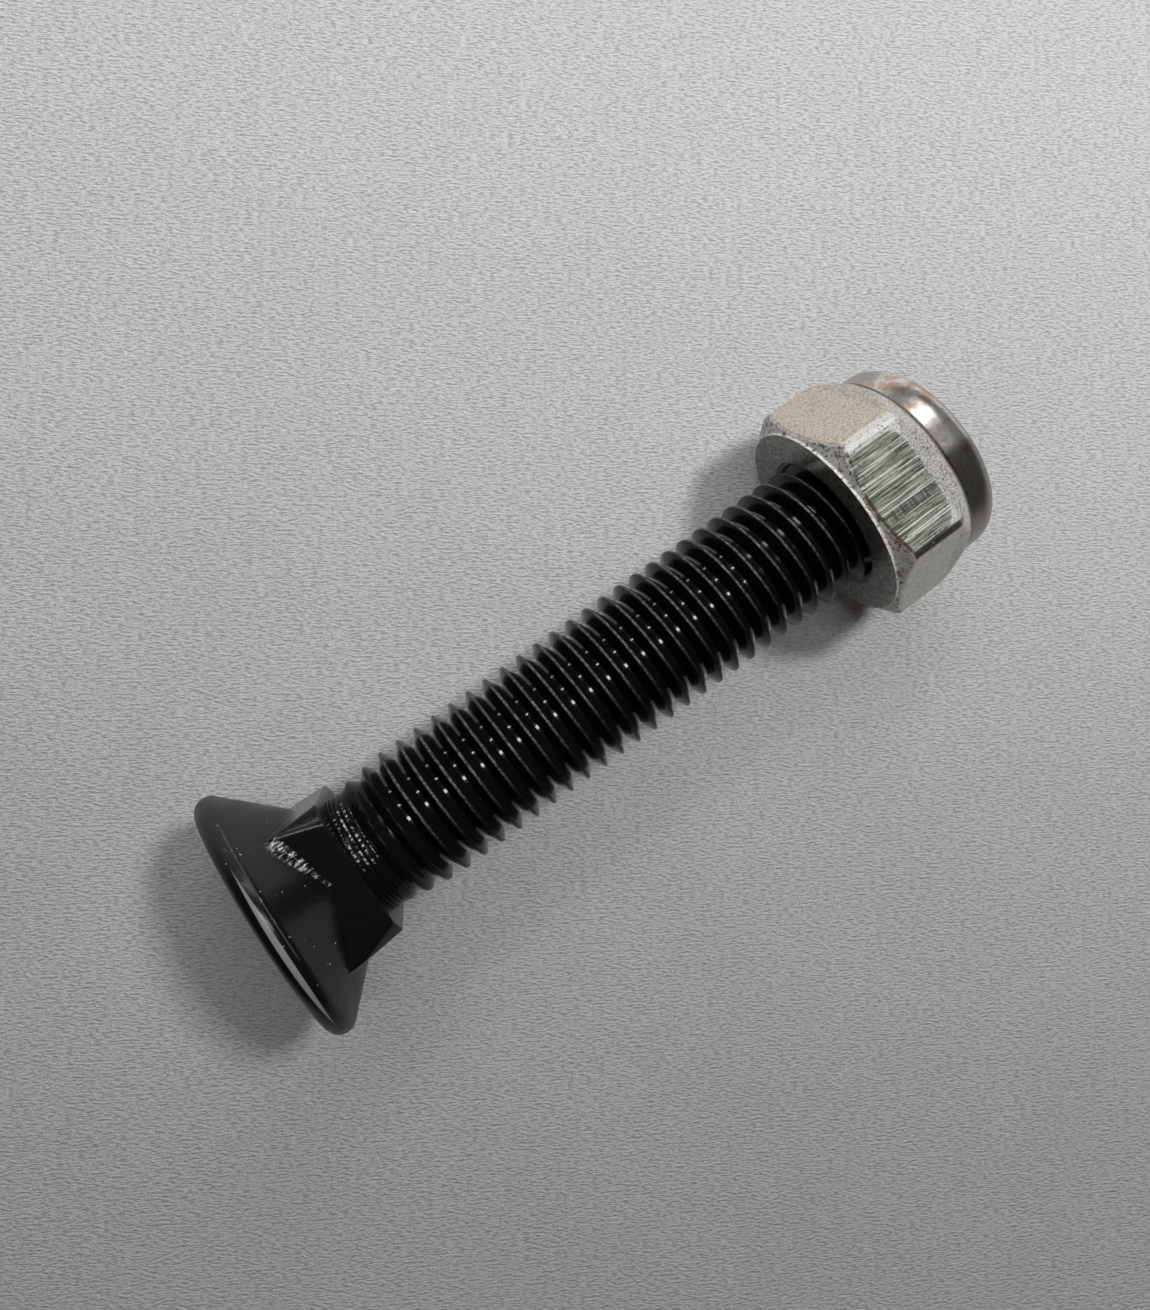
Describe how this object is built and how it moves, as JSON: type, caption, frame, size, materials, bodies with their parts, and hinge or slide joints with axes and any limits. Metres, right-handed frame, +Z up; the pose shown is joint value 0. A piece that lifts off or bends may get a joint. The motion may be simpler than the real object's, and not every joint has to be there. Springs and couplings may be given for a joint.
{
  "type": "plough bolt with lock nut",
  "caption": "Black countersunk bolt with a square neck and a full-length coarse thread, carrying a zinc-plated hexagon lock nut with a nylon ring in its collar, lying on its side.",
  "frame": {"origin": "on the surface it lies on, under the middle of the whole set's box", "axes": "+X along the bolt from the head to the nut, +Z up, with a flat of the nut and a side of the square neck facing up"},
  "size_m": [0.0732, 0.0222, 0.0217],
  "materials": {
    "blackened_steel": "black finish, glossy on the thread and neck, duller on the head",
    "zinc_plated_steel": "zinc plating, brushed and stained",
    "nylon": "plain moulded nylon"
  },
  "bodies": {
    "bolt": {"bolt": "blackened_steel"},
    "nylon_ring": {"nylon_ring": "nylon"},
    "nut": {"nut": "zinc_plated_steel"}
  },
  "joints": [
    {"name": "nut_travel", "type": "slide", "parent": "bolt", "child": "nylon_ring", "axis": [0.9997, 0, -0.024], "range_m": [-0.04463, 0.01313]},
    {"name": "nut_turn", "type": "hinge", "parent": "nylon_ring", "child": "nut", "pos_m": [0.02367, -0.00015, 0.00964], "axis": [0.9997, 0, -0.024], "range_deg": [-9180, 2700]}
  ],
  "couplings": [
    {"joint": "nut_travel", "follows": "nut_turn", "m_per_rad": 0.00027852}
  ]
}
